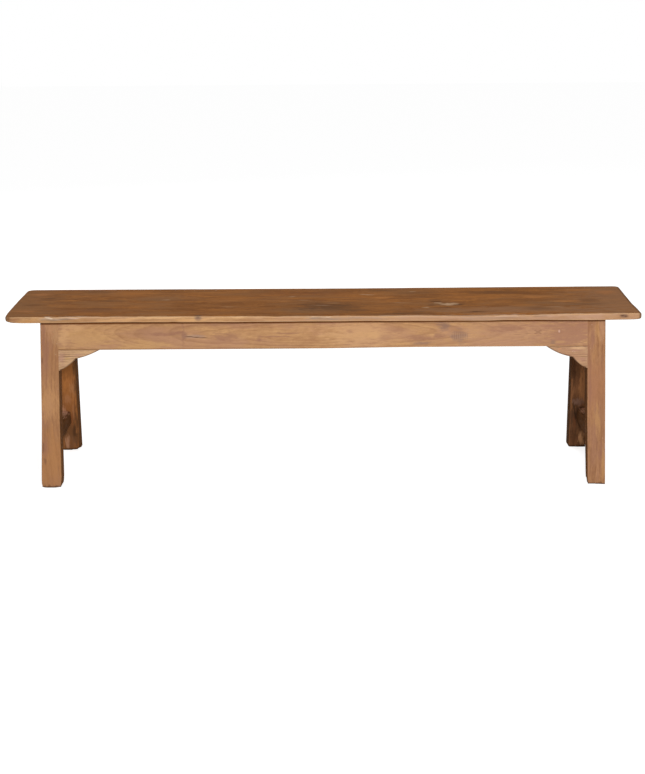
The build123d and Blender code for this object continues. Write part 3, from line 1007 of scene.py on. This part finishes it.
# Marks as X and height above the apron's middle
apron_marks = on_face(apron_face, SHALLOW, (
    ((206, 160, 108), 0.6, (-617, -6, 90, 40), (-450, -26, 90, 14), (129, -6, 20, 14)),
    ((214, 168, 122), 0.65, (95, 2, 120, 50), (-640, 20, 30, 16), (-666, 4, 18, 40)),
    ((186, 142, 116), 0.4, (500, 0, 240, 60)),
    ((168, 122, 98), 0.75, (635, 0, 100, 60)),
    (apron_rose, 0.65, (-417, 1, 60, 6), (-370, 4, 22, 7), (-251, -8, 38, 14), (-162, -15, 10, 5),
     (245, -16, 40, 9), (-90, 1, 40, 2.5), (-120, -7, 50, 2.5), (300, -10, 20, 12), (480, 10, 60, 12)),
    (apron_rose, 0.4, (-359.5, 0, 4, 50), (190, 10, 40, 10), (70.2, 5, 12, 7), (160, -12, 20, 8),
     (-161.5, -10, 8, 8)),
    (apron_grey, 0.6, (310, 19, 10, 9), (310, 18, 22, 14), (350, -11, 28, 20), (590, -28, 10, 6),
     (255, -28, 30, 6)),
))
apron_scars = on_face(apron_face, SHALLOW, (
    ((176, 144, 124), 0.75, (-329, -5.5, 36, 6)),
    ((150, 112, 94), 0.6, (-356, -3, 10, 12)),
    ((96, 68, 56), 0.95, (-343, -6, 14, 1.4), (-325, -7.5, 14, 1.6), (-307, -9, 14, 1.2)),
    ((120, 82, 68), 0.4, (553.5, -0.8, 5, 2.6), *cross),
    ((140, 98, 76), 0.5, (528, -4, 14, 1.2), (502, -7, 16, 1.2)),
    ((176, 144, 124), 0.3, *hatching),
    ((134, 104, 88), 0.3, *[(x + 2.8, *rest) for x, *rest in hatching]),
    ((220, 182, 162), 0.8, (608, 0.7, 3, 5)),
))
half_high = 1000 * apron_height / 2
# Painted shade: the seat overhang's shadow along the apron's top, and a darker line along its lower arris
under_seat = on_face(apron_face, SHALLOW, (
    (SEAT_SHADE, 0.9, (0, half_high - 8.5, 5000, 4.4)),
    (low_shade, 0.2, (0, 1.2 - half_high, 5000, 2.6)),
    (low_shade, 0.5, (-450, 1.2 - half_high, 800, 2.6)),
))
front_apron_wood = teak("front_apron_teak", apron_tones, (0.0, 0.002, -0.045), cut=0.2, marks=apron_marks,
                        crisp=apron_scars + under_seat, ring_width=0.0035, sweep=0.065, contrast=0.7)
back_apron_wood = teak("back_apron_teak", apron_tones, (-0.2, 0.01, -0.05), cut=2.3,
                       knots=(((0.21, 0.0, 0.011), (0.025, 0.014, 0.02), 1.0),), crisp=under_seat,
                       sweep=0.05)


# %% Build the aprons


def apron_place(points):
    """The apron stands in the legs' plane, with its top edge bevelled to meet the plank."""
    inward = apron_thickness / 2 - points[:, 2]
    share = points[:, 1] / apron_height
    up = (share + 0.5) * (apron_height + inward * math.tan(rake)) - apron_height
    up = up - droop(points[:, 0]) * (0.5 - share)
    return leaning(points[:, 0], up, inward)


def apron_rounding(points):
    """The ends, which meet the legs, stay sharp."""
    at_end = np.abs(points[:, 0]) > apron_size[0] / 2 - 0.003
    return np.where(at_end, IN_JOINT - APRON_ARRIS, 0.0)


for name, place, wood, seed in (("front", apron_place, front_apron_wood, 8.2),
                                ("back", at_back(apron_place), back_apron_wood, 9.9)):
    apron = board(f"{name}_apron_wood", apron_size, APRON_ARRIS, (0.01, 0.008, 0.008), place, seed,
                  rounding=apron_rounding)
    fit(apron, f"{name}_apron", wood)

# %% [markdown]
# ## Scalloped brackets
# Each bracket is a short board under the apron, with two lobes sawn in its lower edge: arcs
# through three points, as shares of its length and drop, as in the CAD model. The grid is
# squeezed to follow the arcs, and the wood's coordinates aren't.

# %% Brackets
BRACKET_ARRIS = 0.0008
THINNEST = 0.0004
SCALLOPS = {
    "left": ((0, 1), (0.23, 0.76), (0.41, 0.42), (0.45, 0.41), (0.71, 0.26), (1, 0)),
    "right": ((0, 1), (0.19, 0.82), (0.335, 0.52), (0.42, 0.47), (0.75, 0.27), (1, 0)),
}


def arc_height(along, first, middle, last):
    (x1, y1), (x2, y2), (x3, y3) = first, middle, last
    rows = np.array(((x2 - x1, y2 - y1), (x3 - x2, y3 - y2))) * 2
    squares = np.array((x2**2 + y2**2 - x1**2 - y1**2, x3**2 + y3**2 - x2**2 - y2**2))
    x0, y0 = np.linalg.solve(rows, squares)
    radius = math.hypot(x1 - x0, y1 - y0)
    side = 1 if y2 > y0 else -1
    return y0 + side * np.sqrt(np.maximum(radius**2 - (along - x0) ** 2, 0))


def scallop(along, length, drop, shares):
    """How far the lower edge hangs below the apron, at a distance from the leg."""
    leg_end, lobe, lobe_end, step_end, flat_lobe, toe = [(x * length, y * drop) for x, y in shares]
    round_lobe = arc_height(along, leg_end, lobe, lobe_end)
    step = np.interp(along, (lobe_end[0], step_end[0]), (lobe_end[1], step_end[1]))
    flat = arc_height(along, step_end, flat_lobe, toe)
    return np.where(along < lobe_end[0], round_lobe, np.where(along < step_end[0], step, flat))


def bracket_place(side, length, drop, shares):
    def place(points):
        away = (points[:, 0] / length + 0.5) * (length + JOINT_TUCK) - JOINT_TUCK
        hang = np.maximum(scallop(np.maximum(away, 0), length, drop, shares), THINNEST)
        along = side * (leg_inner - away)
        up = -apron_height - droop(along) - (0.5 - points[:, 1] / drop) * hang
        return leaning(along, up, apron_thickness / 2 - points[:, 2])

    return place


def bracket_sawn(length, drop, shares):
    def sawn(points):
        away = np.clip(points[:, 0] + length / 2, 0, length)
        hang = np.maximum(scallop(away, length, drop, shares), THINNEST)
        down = -(0.5 - points[:, 1] / drop) * hang
        return np.stack([points[:, 0], down, points[:, 2]], axis=1), hang + down

    return sawn


def bracket_rounding(points):
    """The end that meets the leg stays sharp."""
    return np.where(points[:, 0] < points[:, 0].min() + 0.003, IN_JOINT - BRACKET_ARRIS, 0.0)


# %% Build the brackets
bracket_tones = ((220, 180, 136), (188, 146, 112), (112, 76, 54), (200, 158, 126))
bracket_line = (126, 88, 60)
# Marks as the place along the bracket and down from its top
bracket_marks = {
    "left": (
        ((222, 180, 132), 0.7, (21, -4.5, 36, 2.8)),
        ((188, 144, 122), 0.7, (-6, -14, 13, 4.5), (-44, -20, 12, 20)),
        ((196, 156, 98), 0.6, (-31, -21.5, 9, 3)),
    ),
    "right": (
        ((178, 132, 104), 0.6, (0, -20, 80, 40)),
        ((220, 178, 136), 0.8, (-26, -4.5, 26, 3.4)),
        ((208, 148, 108), 0.6, (21, -5, 7, 3.5)),
        ((180, 134, 112), 0.65, (-18, -12.5, 15, 4), (-43, -34, 10, 8)),
    ),
}
bracket_scars = {
    "left": (
        (bracket_line, 0.6, (-34, -10.4, 20, 1), (-36, -14.6, 18, 0.9), (-38, -29.6, 14, 1)),
    ),
    "right": (
        (bracket_line, 0.5, (-42, -26.5, 12, 1), (-44, -36.5, 10, 1)),
        ((236, 206, 186), 0.6, (-14, -13.2, 1.4, 1.2), (-19.5, -14.2, 1.4, 1.2), (-17, -12, 1.2, 1)),
    ),
}
for near, side, far, seed in (("left", -1, "right", 2.1), ("right", 1, "left", 5.4)):
    low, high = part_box(f"front_{near}_bracket")
    length = high.x - low.x
    drop = (high.z - low.z - apron_thickness * math.sin(rake)) / math.cos(rake)
    place = bracket_place(side, length, drop, SCALLOPS[near])
    both = ((f"front_{near}", place, seed + 3), (f"back_{far}", at_back(place), seed + 4))
    for name, where, growth in both:
        bracket = board(f"{name}_bracket_wood", (length, drop, apron_thickness), BRACKET_ARRIS,
                        (0.002, 0.005, 0.006), where, growth, rounding=bracket_rounding,
                        sawn=bracket_sawn(length, drop, SCALLOPS[near]))
        wood = teak(f"{name}_bracket_teak", bracket_tones, (-0.02, -0.15, -0.01), cut=growth,
                    marks=on_face(apron_face, DEEP, bracket_marks[near]),
                    crisp=on_face(apron_face, DEEP, bracket_scars[near]), rubbed=(104, 74, 54),
                    ring_width=0.0048, sweep=0.3, wave=0.009, contrast=0.6, line=1.7, wear=0.7)
        fit(bracket, f"{name}_bracket", wood)

# %% [markdown]
# ## Stretchers
# A low stretcher joins the legs at each end. Its ends are cut along the rake, so it is longer at
# the bottom, and boots have scuffed its top.

# %% Stretchers
STRETCHER_ARRIS = 0.0015
STRETCHER_WORN = 0.0045


def rail_place(low, high):
    """Along the rail is Y, across it is up, and through it is X."""
    middle = (low + high) / 2

    def place(points):
        height = middle.z + points[:, 1]
        y = points[:, 0] * half_span(height) / half_span(middle.z)
        return np.stack([middle.x + points[:, 2], y, height], axis=1)

    return place


def stretcher_rounding(side):
    """The upper arris that faces the middle of the bench is worn round."""
    return lambda points: np.where((points[:, 1] > 0) & (side * points[:, 2] < 0), STRETCHER_WORN, 0.0)


stretcher_tones = ((118, 77, 44), (88, 57, 33), (66, 43, 26), (102, 65, 37))
stretcher_rows = (("left", -1, (210, 160, 130), 8.1), ("right", 1, (220, 166, 132), 11.4))
for name, side, scuff, seed in stretcher_rows:
    low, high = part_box(f"{name}_stretcher")
    span = 2 * half_span((low.z + high.z) / 2)
    bar = board(f"{name}_stretcher_wood", (span, high.z - low.z, high.x - low.x), STRETCHER_ARRIS,
                (0.008, 0.006, 0.006), rail_place(low, high), seed, rounding=stretcher_rounding(side))
    scuffed = ((0.130, (high.z - low.z) / 2, side * 0.004), (0.085, 0.007, 0.020), scuff, 0.85)
    wood = teak(f"{name}_stretcher_teak", stretcher_tones, (0.0, 0.05, -0.06), cut=seed, marks=(scuffed,))
    fit(bar, f"{name}_stretcher", wood)

# %% [markdown]
# ## Rails and battens under the seat
# These hardly show, and their CAD shapes hold real counterbores and screw holes, so the nodes
# stay. They get a rougher cut of the same wood, with the grain from front to back, and a fine
# bevel.

# %% Rails and battens
rail_wood = teak("rail_teak", ((170, 124, 86), (134, 94, 64), (104, 70, 48), (148, 102, 74)),
                 (0.0, 0.0, 0.3), built=False, turn=math.pi / 2, roughness=0.76)


def dress(node, material, bevel=0.0):
    """A CAD node keeps its shape and gets a finish, and a bevel if one is given."""
    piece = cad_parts[node]
    piece.data.materials.clear()
    piece.data.materials.append(material)
    if bevel:
        modifier = piece.modifiers.new("bevel", "BEVEL")
        modifier.width = bevel
        modifier.segments = 2
        modifier.limit_method = "ANGLE"
        modifier.angle_limit = math.radians(40)


for node in ("left_end_rail", "right_end_rail", "left_batten", "middle_batten", "right_batten"):
    dress(node, rail_wood, 0.0006)
print("rails and battens dressed")

# %% [markdown]
# ## Pegs, dowels and screws
# A peg shows its end grain, darker than the leg around it. The screws are dull steel.

# %% Pegs and screws
peg_wood = teak("peg_teak", ((150, 108, 74), (128, 90, 62), (92, 62, 42), (120, 82, 58)),
                (0.0, 0.0, 0.1), built=False, ring_width=0.002)


def dull_steel():
    material, tree, shader = new_material("dull_steel")
    shader.inputs["Metallic"].default_value = 0.9
    place = put("TexCoord", {}, tree).outputs["Object"]
    spots = clouds(place, (700.0, 700.0), 3.0, 0.6)
    colour = mixed(between(spots, 0.45, 0.7), tone(128, 124, 118), tone(96, 80, 66))
    tree.links.new(colour, shader.inputs["Base Color"])
    tree.links.new(between(spots, 0.3, 0.7, 0.35, 0.6), shader.inputs["Roughness"])
    return material


steel = dull_steel()
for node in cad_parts:
    if node.endswith(("pegs", "dowels")):
        dress(node, peg_wood)
    elif node.endswith("screws"):
        dress(node, steel)
print("pegs, dowels and screws dressed")

# %% [markdown]
# ## Floor, light and background
# To the camera the pale floor adds just enough to come out white, while a soft shadow shows where
# the bench stands. Most light comes from the front, so the faces that look at the camera are
# bright and the insides of the legs dark.

# %% Floor
FLOOR_REACH = 14.0
FLOOR_TONE = 0.6
FLOOR_GLOW = 0.78
BOUNCE_TONE = 0.45
floor_mesh = bpy.data.meshes.new("floor")
floor_corners = [(x * FLOOR_REACH, y * FLOOR_REACH, 0) for x, y in ((-1, -1), (1, -1), (1, 1), (-1, 1))]
floor_mesh.from_pydata(floor_corners, [], [(0, 1, 2, 3)])
floor = add_object("floor", floor_mesh)


def camera_or_shiny(tree):
    """One for what the camera sees itself or in a glossy or clear surface, else zero."""
    path = put("LightPath", {}, tree).outputs
    seen = plus(path["Is Camera Ray"], path["Is Glossy Ray"])
    return plus(seen, path["Is Transmission Ray"], clamp=True)


def floor_material():
    material, tree, shader = new_material("pale_floor")
    shader.inputs["Roughness"].default_value = 1.0
    shader.inputs["Specular IOR Level"].default_value = 0.0
    seen = camera_or_shiny(tree)
    bright = (FLOOR_TONE, FLOOR_TONE, FLOOR_TONE, 1)
    bounce = (BOUNCE_TONE, BOUNCE_TONE, BOUNCE_TONE, 1)
    tree.links.new(mixed(seen, bounce, bright), shader.inputs["Base Color"])
    shader.inputs["Emission Color"].default_value = (1, 1, 1, 1)
    tree.links.new(times(seen, FLOOR_GLOW), shader.inputs["Emission Strength"])
    return material


floor_mesh.materials.append(floor_material())
print("floor", 2 * FLOOR_REACH, "m square")

# %% Light
WORLD_LIGHT = 0.34
world = bpy.data.worlds.new("studio")
bpy.context.scene.world = world
world.use_nodes = True
sky = world.node_tree
backdrop = sky.nodes["Background"]
backdrop.inputs["Color"].default_value = (1, 1, 1, 1)
strength = put("MapRange", {"Value": camera_or_shiny(sky), "To Min": WORLD_LIGHT})
sky.links.new(strength.outputs[0], backdrop.inputs["Strength"])


def softbox(name, place, aim, size, watts, shine=1.0):
    lamp = bpy.data.lights.new(name, "AREA")
    lamp.energy = watts
    lamp.size = size
    lamp.specular_factor = shine
    item = add_object(name, lamp)
    item.location = place
    item.rotation_euler = (Vector(aim) - Vector(place)).to_track_quat("-Z", "Y").to_euler()


softbox("key", (0.45, -3.8, 1.53), (0, 0, 0.35), 0.55, 104)
softbox("back", (-1.2, 3.4, 3.0), (0, 0, 0.3), 1.6, 40, shine=0.0)
bpy.context.scene.view_settings.view_transform = "Standard"
print("floor, two softboxes and a white background")
